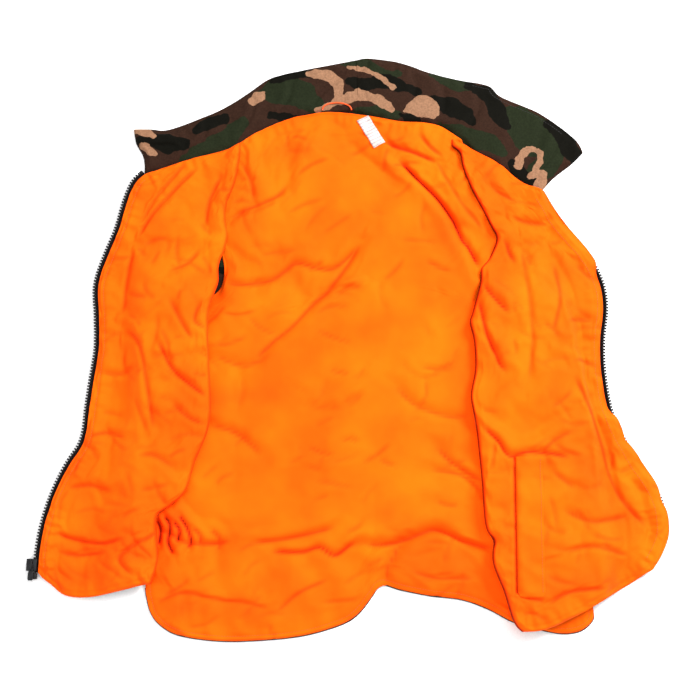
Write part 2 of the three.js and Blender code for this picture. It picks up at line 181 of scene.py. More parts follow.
def orangeNylon():
    # fluorescent orange polyester, plain woven and dyed: very bright and matt, with painted shade that turns
    # it red in folds and broad shaded patches
    material, tree, shader, coords = newMaterial("fluorescent_orange_polyester")
    tint = addNode(tree, "ShaderNodeTexNoise", Vector=coords, Scale=1 / 0.07, Detail=3.0)
    ramp = addNode(tree, "ShaderNodeValToRGB", Fac=tint.outputs[0])
    ramp.color_ramp.elements[0].position = 0.35
    ramp.color_ramp.elements[0].color = linear("#F65200")
    ramp.color_ramp.elements[1].position = 0.7
    ramp.color_ramp.elements[1].color = linear("#FA6402")
    # painted shade: a per-point shade amount from the panels mixes the orange towards red
    fold = addNode(tree, "ShaderNodeAttribute", {"attribute_name": "painted_fold_shade"})
    deep = addNode(tree, "ShaderNodeMix", {"data_type": "RGBA"}, Factor=fold.outputs[2], i6=ramp.outputs[0],
                   i7=linear("#C81C00"))
    # painted shade: only the very bottom of a fold goes dark
    bottom = addNode(tree, "ShaderNodeMath", {"operation": "POWER"}, i0=fold.outputs[2], i1=7.0)
    dark = addNode(tree, "ShaderNodeMix", {"data_type": "RGBA"}, Factor=bottom.outputs[0], i6=deep.outputs[2],
                   i7=linear("#4E0A02"))
    tree.links.new(dark.outputs[2], shader.inputs["Base Color"])
    # crinkles: crisp ridges a few centimetres apart over the weave
    ridges = addNode(tree, "ShaderNodeTexNoise", {"noise_type": "RIDGED_MULTIFRACTAL"}, Vector=coords,
                     Scale=1 / 0.06, Detail=2.0, Roughness=0.45, Distortion=0.6)
    crisp = addNode(tree, "ShaderNodeBump", Strength=0.5, Distance=0.0022, Height=ridges.outputs[0],
                    Normal=weaveBump(tree, coords, 0.0011, 0.02, 0.00008, 0.0016))
    tree.links.new(crisp.outputs[0], shader.inputs["Normal"])
    shader.inputs["Roughness"].default_value = 0.85
    shader.inputs["Specular IOR Level"].default_value = 0.08
    return material


camoColours = {"brown": "#2B1A12", "green": "#1B2012", "black": "#0A0905", "tan": "#86624A"}


def camoCloth(name, printed=False):
    # four-colour woodland print on plain-woven polyester: crisp wavy blotches, matt and a little faded
    material, tree, shader, coords = newMaterial(name)
    wobble = addNode(tree, "ShaderNodeTexNoise", Vector=coords, Scale=1 / 0.02, Detail=3.0)
    colour = linear(camoColours["brown"])
    layers = [("green", 0.085, 0.52, 0.0), ("black", 0.07, 0.60, 0.31), ("tan", 0.075, 0.655, 0.67)]
    for shade, size, cut, seed in layers:
        if printed:
            shape = addNode(tree, "ShaderNodeAttribute", {"attribute_name": f"print_{shade}"}).outputs[2]
            field = addNode(tree, "ShaderNodeMath", {"operation": "MULTIPLY_ADD"}, i0=wobble.outputs[0],
                            i1=15.0, i2=shape)
            cut = 7.5
        else:
            far = addNode(tree, "ShaderNodeVectorMath", {"operation": "ADD"}, i0=coords,
                          i1=(seed, seed * 1.7, 0))
            field = addNode(tree, "ShaderNodeTexNoise", Vector=far.outputs[0], Scale=1 / size, Detail=2.0)
        edge = addNode(tree, "ShaderNodeMath", {"operation": "GREATER_THAN"}, i0=field.outputs[0], i1=cut)
        mix = addNode(tree, "ShaderNodeMix", {"data_type": "RGBA"}, Factor=edge.outputs[0], i6=colour,
                      i7=linear(camoColours[shade]))
        colour = mix.outputs[2]
    dust = addNode(tree, "ShaderNodeTexNoise", Vector=coords, Scale=1 / 0.0022, Detail=3.0)
    mottle = addNode(tree, "ShaderNodeMix", {"data_type": "RGBA", "blend_type": "OVERLAY"}, Factor=0.5,
                     i6=colour, i7=dust.outputs[0])
    tree.links.new(mottle.outputs[2], shader.inputs["Base Color"])
    tree.links.new(weaveBump(tree, coords, 0.0013, 0.016, 0.0001, 0.0022), shader.inputs["Normal"])
    shader.inputs["Roughness"].default_value = 0.85
    shader.inputs["Specular IOR Level"].default_value = 0.06
    return material


def plainMaterial(name, colour, roughness, bumpSize=0.0, bumpDepth=0.0, **sockets):
    material, tree, shader, coords = newMaterial(name)
    noise = addNode(tree, "ShaderNodeTexNoise", Vector=coords, Scale=1 / (bumpSize or 0.002), Detail=2.0)
    ramp = addNode(tree, "ShaderNodeValToRGB", Fac=noise.outputs[0])
    base = linear(colour)
    ramp.color_ramp.elements[0].color = (*[c * 0.85 for c in base[:3]], 1)
    ramp.color_ramp.elements[1].color = (*[min(1, c * 1.15) for c in base[:3]], 1)
    tree.links.new(ramp.outputs[0], shader.inputs["Base Color"])
    if bumpDepth:
        bump = addNode(tree, "ShaderNodeBump", Strength=0.5, Distance=bumpDepth, Height=noise.outputs[0])
        tree.links.new(bump.outputs[0], shader.inputs["Normal"])
    shader.inputs["Roughness"].default_value = roughness
    for key, value in sockets.items():
        shader.inputs[key.replace("_", " ")].default_value = value
    return material


orange = orangeNylon()
collarCamo = camoCloth("woodland_camo_collar", printed=True)
liningCamo = camoCloth("woodland_camo_lining")
# flat black twill, a little rough
tapeBlack = plainMaterial("black_woven_zip_tape", "#0B0708", 0.9, 0.0012, 0.0002, Specular_IOR_Level=0.1)
# moulded plastic teeth: near black with a dull shine on their heads
toothBlack = plainMaterial("black_moulded_acetal", "#0A0708", 0.55, 0.003, 0.00004, Specular_IOR_Level=0.25)
# painted zinc: dark grey, satin, with soft highlights on its edges
enamelBlack = plainMaterial("black_enamelled_zinc", "#1A1A1C", 0.36, 0.004, 0.00003, Metallic=0.75)


def printedRibbon():
    # white satin ribbon with faint grey rows of print too small to read
    material, tree, shader, coords = newMaterial("white_satin_ribbon")
    turned = addNode(tree, "ShaderNodeMapping", {"vector_type": "POINT"}, Vector=coords)
    turned.inputs["Rotation"].default_value = (0, 0, math.radians(-30))
    rows = addNode(tree, "ShaderNodeTexWave", {"bands_direction": "Y"}, Vector=turned.outputs[0],
                   Scale=0.314 / 0.0045)
    marks = addNode(tree, "ShaderNodeTexNoise", Vector=turned.outputs[0], Scale=1 / 0.0018, Detail=1.0)
    ink = addNode(tree, "ShaderNodeMath", {"operation": "MULTIPLY"}, i0=rows.outputs[1], i1=marks.outputs[0])
    cut = addNode(tree, "ShaderNodeMath", {"operation": "GREATER_THAN"}, i0=ink.outputs[0], i1=0.4)
    faint = addNode(tree, "ShaderNodeMath", {"operation": "MULTIPLY"}, i0=cut.outputs[0], i1=0.5)
    mix = addNode(tree, "ShaderNodeMix", {"data_type": "RGBA"}, Factor=faint.outputs[0], i6=linear("#C2B2AC"),
                  i7=linear("#5E6274"))
    tree.links.new(mix.outputs[2], shader.inputs["Base Color"])
    shader.inputs["Roughness"].default_value = 0.6
    return material


labelWhite = printedRibbon()
threadBlack = plainMaterial("black_polyester_thread", "#0D0B0B", 0.6, 0.001, 0.0001)
threadOrange = plainMaterial("orange_polyester_thread", "#EE4E00", 0.6, 0.001, 0.0001)
elasticWhite = plainMaterial("white_woven_elastic", "#E8E4DA", 0.85, 0.002, 0.0003)
print("materials made")


def panelPlan(spec, u, v):
    # plan places from the panel's four edge lines
    hem, neck, left, right = (spec["edges"][side] for side in ("hem", "neck", "left", "right"))
    u1, v1 = u[:, None], v[:, None]
    upwards = (1 - v1) * lineAt(hem, u) + v1 * lineAt(neck, u)
    ruled = upwards + (1 - u1) * lineAt(left, v) + u1 * lineAt(right, v)
    corners = ((1 - u1) * (1 - v1) * hem[0] + u1 * (1 - v1) * hem[-1]
               + (1 - u1) * v1 * neck[0] + u1 * v1 * neck[-1])
    return ruled - corners


def even(t, pull=0.5):
    # grid lines lie closer together at the rims
    return t - pull * np.sin(2 * np.pi * t) / (2 * np.pi)


def panelHeights(spec, xy):
    # lower and upper face heights in mm; each rim is (radius of its roll, flat seam allowance outside it)
    low = spec["low"](xy)
    full = np.ones(len(xy))
    for side, line in spec["edges"].items():
        radius, tuck = spec["rims"].get(side, (12, 0))
        if radius:
            gap, _, _ = distanceTo(line, xy)
            full = np.minimum(full, roundRim(np.maximum(gap - tuck, 0), radius))
    if "top" in spec:
        return low, np.maximum(spec["top"](xy, full), low + 0.5)
    return low, low + spec["rim"] + (spec["loft"] - spec["rim"]) * full


def fold(path, depth, roll, width, **more):
    # a crease's line, how deep it is, how high the cloth rolls beside it and how wide it is, in mm
    return {"path": path, "depth": depth, "roll": roll, "width": width, **more}


def crinkles(spec):
    # short sharp creases scattered over a panel, leaning the way its cloth is dragged
    fine = spec["crinkles"]
    draw = np.random.default_rng(fine["seed"])
    corners = np.concatenate(list(spec["edges"].values()))
    low, high = corners.min(0), corners.max(0)
    made = []
    for _ in range(fine["count"]):
        middle = draw.uniform(low, high)
        lean = math.radians(draw.normal(fine["lean"], fine["vary"]))
        reach = draw.uniform(9, 30)
        along = np.array([math.cos(lean), math.sin(lean)])
        bow = np.array([-along[1], along[0]]) * draw.uniform(-0.3, 0.3) * reach
        made.append({"path": [middle - along * reach, middle + bow, middle + along * reach],
                     "depth": draw.uniform(0.6, 1.9), "roll": draw.uniform(0.4, 1.1),
                         "width": draw.uniform(2.6, 4.4),
                     "side": draw.choice([-1, 1]), "fade": reach * 0.6})
    return made


def foldRise(spec, xy, fine=False):
    # each fold is a valley along its line and a roll of cloth on one side of it, with painted shade along its
    # line
    rise = np.zeros(len(xy))
    depth = np.zeros(len(xy))
    folds = list(spec.get("folds", ()))
    if fine and "crinkles" in spec:
        folds += crinkles(spec)
    for crease in folds:
        line = smoothLine(crease["path"], 6)
        width = crease["width"]
        near = ((xy > line.min(0) - 6 * width) & (xy < line.max(0) + 6 * width)).all(1)
        spot = xy[near]
        gap, side, _ = distanceTo(line, spot)
        ends = np.minimum(np.hypot(*(spot - line[0]).T), np.hypot(*(spot - line[-1]).T))
        fade = ease(ends / crease.get("fade", 18))
        valley = fade * np.exp(-(np.sqrt(gap ** 2 + 4) - 2) / (width * 0.42))
        off = (side * gap * crease.get("side", 1) - width * 2.2) / (width * 1.8)
        rise[near] += crease["roll"] * fade * np.exp(-off ** 2) - crease["depth"] * valley
        # painted shade along the fold's line, in a shade amount that the orange material turns red
        shade = crease.get("shade", min(1, crease["depth"] / 5))
        depth[near] = np.maximum(depth[near], fade * np.exp(-(gap / 2.8) ** 2) * shade)
    for edge, (pitch, height, inset) in spec.get("puckers", {}).items():
        # small gathers that the seam's stitching pulls into the cloth, and the dent of the stitching itself
        gap, _, along = distanceTo(spec["edges"][edge], xy)
        phase = along / pitch + 0.9 * np.sin(along / 31) + 0.5 * np.sin(along / 13 + 1)
        rise += height * np.sin(2 * np.pi * phase) * np.exp(-((gap - inset - 5) / 7) ** 2)
        rise -= 0.9 * np.exp(-((gap - inset) / 2.2) ** 2)
    # painted shade: a thin dark line along the named edges
    for edge, strength in spec.get("edgeShade", {}).items():
        gap, _, _ = distanceTo(spec["edges"][edge], xy)
        depth = np.maximum(depth, strength * np.exp(-(gap / 2.4) ** 2))
    if fine:
        # painted shade in broad patches, only in the shade amount and not in the cloth's shape: place, half
        # width, half depth, turn and strength
        for x, y, wide, deep, turn, strength in spec.get("shadePatches", ()):
            cos, sin = math.cos(math.radians(turn)), math.sin(math.radians(turn))
            right = cos * (xy[:, 0] - x) + sin * (xy[:, 1] - y)
            up = cos * (xy[:, 1] - y) - sin * (xy[:, 0] - x)
            patchShade = strength * np.exp(-(right / wide) ** 2 - (up / deep) ** 2)
            depth = np.maximum(depth, depth * 0.6 + patchShade)
    return rise, depth


def sewnRim(spec, xy, top, low):
    # a front's face stays over the zip tape that is sewn into it
    if "sewn" not in spec:
        return top
    gap, _, _ = distanceTo(spec["edges"][spec["sewn"]], xy)
    return np.maximum(top, np.where(gap < 22, np.maximum(low + 1.0, 6.2) * (1 - ease((gap - 8) / 12)), -1))


def wrinkleCloth(obj, pinned, settings):
    # loose cloth with air under it, held at its seams: it buckles into soft wrinkles
    group = obj.vertex_groups.new(name="seams")
    rounded = np.round(pinned, 1)
    for strength in np.unique(rounded):
        if strength > 0:
            group.add(np.nonzero(rounded == strength)[0].tolist(), float(strength), "REPLACE")
    cloth = obj.modifiers.new("cloth", "CLOTH")
    frames = settings.get("frames", 18)
    s = cloth.settings
    s.quality = 5
    s.mass = 0.15
    s.tension_stiffness = 15
    s.compression_stiffness = 15
    s.shear_stiffness = 5
    s.bending_stiffness = settings.get("bending", 0.02)
    s.air_damping = 1
    s.use_pressure = True
    s.uniform_pressure_force = settings.get("pressure", 1.0)
    s.shrink_min = settings.get("shrink", -0.06)
    s.effector_weights.gravity = 0
    s.vertex_group_mass = "seams"
    cloth.collision_settings.use_collision = False
    cloth.collision_settings.use_self_collision = False
    cloth.point_cache.frame_start = 1
    cloth.point_cache.frame_end = frames
    before = readPoints(obj.data)
    for step in range(1, frames + 1):
        bpy.context.scene.frame_set(step)
    solved = obj.evaluated_get(bpy.context.evaluated_depsgraph_get()).to_mesh()
    after = readPoints(solved)
    obj.modifiers.remove(cloth)
    obj.vertex_groups.remove(group)
    bpy.context.scene.frame_set(1)
    move = after - before
    move[:, :2] *= 0.5
    reach = np.linalg.norm(move, axis=1, keepdims=True)
    cap = settings.get("cap", 5) * mm
    move *= np.tanh(reach / cap) * cap / np.maximum(reach, 1e-9)
    writePoints(obj.data, before + move)


def subdivide(obj, levels=1):
    modifier = obj.modifiers.new("smooth", "SUBSURF")
    modifier.levels = modifier.render_levels = levels
    mesh = bpy.data.meshes.new_from_object(obj.evaluated_get(bpy.context.evaluated_depsgraph_get()))
    obj.modifiers.remove(modifier)
    old = obj.data
    obj.data = mesh
    bpy.data.meshes.remove(old)


def closePanel(obj, low, rimIndex):
    # the lower face is a copy of the upper one laid at its own heights, and a narrow wall joins them
    bm = bmesh.new()
    bm.from_mesh(obj.data)
    heights = bm.verts.layers.float.new("low")
    bm.verts.ensure_lookup_table()
    for vert, height in zip(bm.verts, low):
        vert[heights] = height * mm
    made = bmesh.ops.extrude_face_region(bm, geom=list(bm.faces), use_keep_orig=True)["geom"]
    floor = {item for item in made if isinstance(item, bmesh.types.BMFace)}
    lowered = {v for face in floor for v in face.verts}
    for vert in lowered:
        vert.co.z = vert[heights]
    for face in floor:
        face.material_index = 1
    for face in bm.faces:
        if face not in floor and any(v in lowered for v in face.verts):
            face.material_index = rimIndex
    bmesh.ops.recalc_face_normals(bm, faces=bm.faces)
    bm.verts.layers.float.remove(heights)
    bm.to_mesh(obj.data)
    bm.free()
    obj.data.polygons.foreach_set("use_smooth", [True] * len(obj.data.polygons))
    obj.data.update()


def paddedPanel(name, spec):
    bm = bmesh.new()
    bmesh.ops.create_grid(bm, x_segments=spec["columns"], y_segments=spec["rows"], size=0.5)
    obj = meshObject(name, bm, [])
    grid = readPoints(obj.data)
    u, v = even(grid[:, 0] + 0.5), even(grid[:, 1] + 0.5)
    xy = panelPlan(spec, u, v)
    low, top = panelHeights(spec, xy)
    rise, depth = foldRise(spec, xy)
    least = spec.get("least", 0.8)
    top = sewnRim(spec, xy, np.maximum(top + rise * 0.4, low + least), low)
    writePoints(obj.data, np.column_stack([xy, top]) * mm)
    if spec.get("cloth"):
        rim = (np.minimum(u, 1 - u) < 0.002) | (np.minimum(v, 1 - v) < 0.002)
        wrinkleCloth(obj, np.maximum(np.where(rim, 1.0, 0.0), np.where(depth > 0.2, 0.5, 0.0)),
            spec["cloth"])
    subdivide(obj)
    points = readPoints(obj.data) / mm
    xy = points[:, :2]
    low, _ = panelHeights(spec, xy)
    coarse, _ = foldRise(spec, xy)
    rise, depth = foldRise(spec, xy, fine=True)
    top = sewnRim(spec, xy, np.maximum(points[:, 2] + rise - coarse * 0.4, low + least), low)
    writePoints(obj.data, np.column_stack([xy, top]) * mm)
    # painted shade amount per point, read by the orange material's colour
    shade = obj.data.attributes.new("painted_fold_shade", "FLOAT", "POINT")
    shade.data.foreach_set("value", depth)
    for colour, strokes in spec.get("print", {}).items():
        # printed shapes as a distance field in mm, positive inside
        inside = np.full(len(xy), -40.0)
        for stroke in strokes:
            centre = smoothLine(stroke, 5)
            line = centre[:, :2]
            run = np.concatenate([[0], np.cumsum(np.hypot(*np.diff(line, axis=0).T))])
            gap, _, along = distanceTo(line, xy)
            inside = np.maximum(inside, np.interp(along, run, centre[:, 2]) - gap)
        field = obj.data.attributes.new(f"print_{colour}", "FLOAT", "POINT")
        field.data.foreach_set("value", inside)
    closePanel(obj, low, spec.get("rimIndex", 0))
    obj.data.materials.append(spec["upper"])
    obj.data.materials.append(spec["under"])
    print(name, "built", len(obj.data.polygons), "faces")
    return obj


def topFace(obj):
    # height in mm of a piece's upper face over plan points in mm
    tree = BVHTree.FromObject(obj, bpy.context.evaluated_depsgraph_get())

    def height(x, y, otherwise=0.0):
        hit = tree.ray_cast(Vector((x * mm, y * mm, 1)), Vector((0, 0, -1)))[0]
        return otherwise if hit is None else hit.z / mm
    return height


frontFloor = 21.4
sideFloor = 10.5

# Back: from the neck to the dropped tail, with an armhole notch each side
back = {
    "columns": 100, "rows": 124, "rim": 2.0, "loft": 9.5, "upper": orange, "under": liningCamo, "fill": 0.35,
    "rimIndex": 1,
    "edges": {
        "hem": smoothLine([(-250, -305), (-248, -322), (-241, -344), (-226, -360), (-203, -370),
            (-156, -376), (-107, -375), (-58, -370), (-22, -361), (3, -351), (18, -338), (30, -322),
            (42, -308), (66, -314), (102, -321), (142, -326), (175, -338), (204, -353), (240, -363),
            (266, -367), (288, -363), (302, -350), (301, -337), (297, -325)]),
        "neck": smoothLine([(-143, 258), (-111, 277), (-75, 292), (-50, 298), (-23, 301), (23, 297),
            (68, 289), (100, 287), (118, 283), (132, 275), (148, 264)]),
        "left": smoothLine([(-250, -305), (-250, -200), (-247, -80), (-240, 30), (-205, 46), (-168, 60),
            (-158, 84), (-161, 108), (-170, 130), (-166, 170), (-154, 220), (-143, 258)]),
        "right": smoothLine([(297, -325), (301, -228), (292, -103), (272, 25), (225, 44), (190, 54),
            (182, 66), (185, 88), (197, 108), (206, 125), (198, 150), (186, 178), (172, 205), (160, 232),
            (148, 264)]),
    },
    "rims": {"hem": (14, 0), "neck": (10, 0), "left": (16, 0), "right": (16, 0)},
    "puckers": {"hem": (13, 0.6, 6), "neck": (15, 0.6, 5)},
    "folds": [
        # long drag lines across the middle
        fold([(16, 126), (2, 98), (-25, 61), (-41, 47), (-70, 15), (-93, -4), (-117, -28)], 3, 2, 6),
        fold([(-150, 154), (-133, 167), (-108, 177), (-88, 188), (-77, 204)], 3, 1.5, 5, side=-1),
        fold([(-160, 72), (-123, 70), (-96, 76), (-79, 88), (-65, 98), (-38, 91), (-19, 91), (-2, 103),
            (16, 123)], 3, 2, 5),
        # waist gathers
        fold([(17, -258), (47, -259), (72, -253), (90, -246), (107, -241), (127, -247), (146, -256),
            (185, -266)], 7, 4, 6, shade=0.66),
        fold([(-240, -238), (-219, -246), (-200, -256), (-168, -258), (-140, -254)], 3.2, 2, 4),
        fold([(-122, -257), (-83, -253), (-44, -245), (-12, -236)], 3, 2, 4),
        fold([(-98, -267), (-57, -268), (-35, -262), (-16, -272), (3, -260), (17, -258)], 4, 2, 4),
        fold([(66, -256), (58, -272), (51, -285), (46, -304)], 7, 3.5, 6, side=-1, fade=8, shade=0.5),
        fold([(-238, -226), (-232, -240), (-234, -262)], 5, 2, 3.5, fade=6),
        fold([(-228, -222), (-220, -236), (-222, -256), (-214, -272)], 6, 2.2, 3.5, fade=6),
        fold([(-217, -230), (-208, -241), (-211, -258)], 6, 2, 3.5, fade=5),
        fold([(-210, -222), (-200, -236), (-194, -252), (-197, -266)], 5, 2, 3.5, fade=6),
        fold([(-193, -238), (-183, -247), (-181, -264)], 3.2, 1.5, 3.2, fade=6),
        fold([(-170, -240), (-158, -252), (-160, -268)], 2.6, 1.2, 3.2, fade=6),
        fold([(-230, -214), (-214, -202), (-206, -184)], 3, 2, 5, fade=10),
        # right side, running in under the fold
        fold([(110, -135), (130, -157), (172, -184)], 3, 1.5, 5),
        fold([(100, -166), (142, -173), (172, -200)], 2.5, 1.2, 5),
        fold([(60, -60), (85, -85), (130, -100), (158, -96)], 2, 1.2, 6),
        # neck and the roll of cloth beside the right armhole
        fold([(44, 262), (61, 253), (81, 247), (100, 239), (118, 230)], 4, 2, 4),
        fold([(88, 274), (96, 266), (109, 250), (126, 237)], 3, 1.5, 4),
        fold([(64, 240), (71, 231), (94, 206), (114, 186), (134, 157), (147, 129), (155, 119),
            (170, 88)], 10, 5, 6, side=-1),
        fold([(112, 240), (130, 205), (152, 170), (178, 138)], 2, 1.5, 7),
        # left shoulder, waist and tail
        fold([(-140, 236), (-125, 205), (-120, 170)], 2.5, 1.5, 5),
        fold([(-172, -20), (-130, -35), (-95, -20)], 2, 1.2, 6),
        fold([(-175, -110), (-140, -120), (-105, -150)], 2.5, 1.2, 6),
        fold([(-92, -338), (-124, -330), (-160, -326), (-205, -318), (-240, -334)], 2.2, 2.2, 6),
        fold([(-20, -300), (-60, -318), (-90, -345)], 2.5, 1.5, 5),
        fold([(75, -290), (110, -300), (160, -300)], 2.5, 1.5, 5),
        fold([(245, -352), (262, -345), (292, -342)], 3, 2, 4),
    ],
    "crinkles": {"seed": 4, "count": 210, "lean": 20, "vary": 38},
    # painted shade in broad patches: place, half width, half depth, turn and strength
    "shadePatches": [(-218, -238, 22, 30, 0, 0.34), (-130, -74, 60, 13, 4, 0.22), (-60, 250, 70, 14, 8, 0.2),
            (150, -285, 50, 30, 0, 0.26), (70, -290, 40, 22, 0, 0.2), (-150, -336, 90, 14, 0, 0.2),
            (-120, 190, 16, 50, 0, 0.14), (130, 120, 20, 50, 25, 0.24), (-146, 80, 14, 60, 0, 0.22),
            (150, -60, 16, 90, 0, 0.16), (-8, 60, 40, 16, 40, 0.14)],
    "cloth": {"cap": 5, "frames": 18},
}


def backLow(xy):
    # the neck edge lifts over the collar's seam allowance
    gap, _, _ = distanceTo(back["edges"]["neck"], xy)
    return 2.4 * (1 - ease(gap / 10))


back["low"] = backLow
backPiece = paddedPanel("back_panel", back)
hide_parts("back_shell", "back_batting", "back_lining")
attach(backPiece, "back")

# Side sections: the part of each front from its side seam to the fold, lining up.
# The outer face curls up to the fold.
leftFold = [(-241, -308), (-233, -278), (-236, -242), (-234, -223), (-218, -211), (-200, -193),
    (-189, -156), (-174, -118), (-171, -81), (-175, -18), (-176, 31), (-170, 52)]
rightFold = [(212, -365), (202, -352), (191, -316), (179, -285), (178, -267), (180, -254), (170, -237),
    (166, -180), (161, -122), (157, -95), (154, -73), (160, -41), (159, -5), (154, 18), (157, 29),
    (163, 50)]


def sidePanel(name, side, fold, seam, body):
    foldLine, seamLine = smoothLine(fold), smoothLine(seam)
    first, second = (seamLine, foldLine) if side == "left" else (foldLine, seamLine)

    def low(xy):
        fromFold, _, _ = distanceTo(foldLine, xy)
        fromSeam, _, _ = distanceTo(seamLine, xy)
        return sideFloor - 3 * (1 - ease(fromSeam / 14)) + 9.4 * (1 - roundRim(fromFold, 10))

    spec = {
        "columns": 20, "rows": 70, "rim": 1, "loft": 9.5, "upper": liningCamo, "under": orange, "fill": 0.3,
        "rimIndex": 1,
        "edges": {"hem": np.array([first[0], second[0]]), "neck": np.array([first[-1], second[-1]]),
                  "left": first, "right": second},
        "rims": {"left": (0, 0), "right": (0, 0), "hem": (10, 0), "neck": (10, 0)},
        "low": low, "top": lambda xy, full: 12.5 + 7.6 * full, "least": 0.5,
    }
    obj = paddedPanel(name, spec)
    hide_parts(*[f"{side}_side_{layer}" for layer in ("shell", "batting", "lining")])
    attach(obj, body)
    return obj


sidePanel("left_side_section", "left", leftFold, [(-252, -306), (-249, -200), (-246, -80),
    (-238, 34)], "back")
sidePanel("right_side_section", "right", rightFold, [(297, -330), (299, -228), (291, -103),
    (266, 25)], "back")

# Zip paths: the fabric edge of each front, from the hem to the neck
arc = {"x": -109, "y": -293, "radius": 273}
arcPoints = [(arc["x"] + arc["radius"] * math.cos(math.radians(a)),
    arc["y"] + arc["radius"] * math.sin(math.radians(a)))
             for a in range(180, 144, -5)]
leftZip = smoothLine(arcPoints + [(-327, -116), (-325, -92), (-321, -58), (-315, -12), (-316, 30),
    (-318, 70), (-307, 108), (-294, 142), (-284, 180), (-274, 205), (-262, 217)])
rightZip = smoothLine([(370, -285), (382, -266), (390, -243), (388, -214), (378, -188), (359, -158),
    (340, -124), (327, -90), (320, -42), (320, 0), (325, 42), (320, 76), (303, 108), (268, 152),
    (246, 190)])


def offsetLine(line, offset):
    # to the right of the line's heading
    heading = np.gradient(line, axis=0)
    heading /= np.linalg.norm(heading, axis=1, keepdims=True)
    return line + np.reshape(offset, (-1, 1)) * np.column_stack([heading[:, 1], -heading[:, 0]])


def zipCover(y):
    # share of the right chain that the front's edge rolls over: all of it but for the middle and two peeps
    peeps = 0.4 * np.exp(-((y + 130) / 7) ** 2) + 0.4 * np.exp(-((y + 205) / 9) ** 2)
    return np.maximum(ease((y - 82) / 16), ease((-88 - y) / 16) * (1 - peeps))


def frontPanel(side, spec, crest, foot, zipSide, foldSide, outward):
    # the front lies over its side section near the fold, then falls to the table from the crest to the foot
    crestLine, footLine = smoothLine(crest), smoothLine(foot)

    def low(xy):
        crestGap, crestSide, _ = distanceTo(crestLine, xy)
        footGap, footSide, _ = distanceTo(footLine, xy)
        between = 1 - ease(crestGap / np.maximum(crestGap + footGap, 1e-6))
        rise = np.where(crestSide * outward < 0, 1.0, np.where(footSide * outward > 0, 0.0, between))
        shoulder = 1 - ease((xy[:, 1] - 40) / 85)
        foldGap, _, _ = distanceTo(spec["edges"][foldSide], xy)
        overBack = 9.0 * (1 - ease(foldGap / 24))
        zipGap, _, _ = distanceTo(spec["edges"][zipSide], xy)
        neckGap, _, _ = distanceTo(spec["edges"]["neck"], xy)
        atZip = (3.7 + (4.1 * zipCover(xy[:, 1]) if side == "right" else 0)) * (1 - ease((zipGap - 10) / 16))
        atNeck = 2.4 * (1 - ease(neckGap / 10))
        return np.maximum.reduce([frontFloor * rise * shoulder, overBack * (1 - shoulder), atZip, atNeck])

    spec["low"] = low
    obj = paddedPanel(f"{side}_front", spec)
    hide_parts(*[f"{side}_front_{layer}" for layer in ("shell", "batting", "lining")])
    return obj


leftFront = {
    "columns": 52, "rows": 136, "rim": 1.2, "loft": 9.6, "upper": orange, "under": liningCamo, "fill": 0.35,
    "edges": {
        "hem": smoothLine([(-382, -293), (-376, -300), (-367, -307), (-348, -321), (-317, -323),
            (-280, -316), (-252, -309), (-241, -308)]),
        "neck": smoothLine([(-262, 217), (-236, 227), (-204, 238), (-163, 249), (-140, 258)]),
        "left": leftZip,
        "right": smoothLine(leftFold + [(-167, 62), (-164, 73), (-165, 95), (-158, 115), (-154, 135),
            (-157, 154), (-156, 176), (-145, 207), (-139, 247), (-140, 258)]),
    },
    "rims": {"hem": (12, 0), "neck": (9, 0), "left": (11, 3), "right": (12, 0)},
    "puckers": {"hem": (14, 0.6, 6), "neck": (15, 0.5, 5), "left": (14, 0.9, 7.5)}, "sewn": "left",
    "edgeShade": {"right": 0.45},
    "folds": [
        fold([(-245, -8), (-235, -12), (-219, -41), (-196, -62), (-172, -79)], 4, 2, 5),
        fold([(-222, -82), (-196, -104), (-172, -112)], 3, 1.5, 4),
        fold([(-226, 52), (-203, 8), (-188, -8)], 3, 2, 5),
        fold([(-284, 14), (-262, -9), (-250, -60), (-240, -120)], 3, 2, 5),
        fold([(-182, 50), (-192, 20), (-172, 8)], 3, 1.5, 4),
        fold([(-225, -238), (-245, -252), (-261, -260), (-279, -278), (-256, -302)], 3, 2, 5),
        fold([(-192, 226), (-213, 206), (-236, 180), (-254, 158), (-270, 128)], 2.5, 1.5, 4),
        fold([(-206, 236), (-228, 208), (-250, 180), (-266, 148)], 2, 1, 3.5),
        fold([(-273, 120), (-281, 76), (-284, 30)], 2.5, 1.5, 5),
        fold([(-366, -242), (-340, -252), (-300, -258), (-270, -250)], 3.5, 2, 5),
        fold([(-362, -268), (-330, -272), (-292, -268)], 3, 1.5, 4),
        fold([(-352, -190), (-320, -186), (-285, -196)], 2.5, 1.5, 5),
        fold([(-330, -128), (-300, -120), (-270, -132)], 2.5, 1.5, 5),
        fold([(-318, -40), (-290, -46), (-262, -38)], 2, 1.2, 5),
        fold([(-210, -168), (-240, -150), (-262, -152)], 2.5, 1.5, 5),
        fold([(-186, 120), (-205, 96), (-232, 84)], 2.5, 1.5, 5),
        fold([(-160, 218), (-178, 180), (-182, 140)], 2.5, 1.5, 5),
    ],
    "crinkles": {"seed": 9, "count": 120, "lean": -35, "vary": 40},
    # painted shade in broad patches: place, half width, half depth, turn and strength
    "shadePatches": [(-330, -262, 46, 16, 0, 0.2), (-262, -268, 34, 26, 0, 0.22), (-200, -60, 20, 60, 0, 0.16),
            (-258, 176, 16, 40, 25, 0.16), (-312, -300, 60, 16, 0, 0.2), (-196, 30, 14, 30, 0, 0.16)],
    "cloth": {"cap": 4.5, "frames": 18},
}
leftPiece = frontPanel("left", leftFront,
                       [(-272, -330), (-262, -235), (-257, -110), (-252, 0), (-238, 80), (-205, 260)],
                       [(-345, -335), (-332, -235), (-305, -150), (-288, -80), (-284, 0), (-282, 80),
                           (-245, 250)],
                       "left", "right", 1)
# each front and the collar sewn to it bend over the same line, square to the fold
leftBend = {"start": (-0.176, 0, 0.02), "end": (-0.236, 0.0085, 0.02)}
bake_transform(leftPiece, "back", "left_front", leftBend["start"], leftBend["end"])

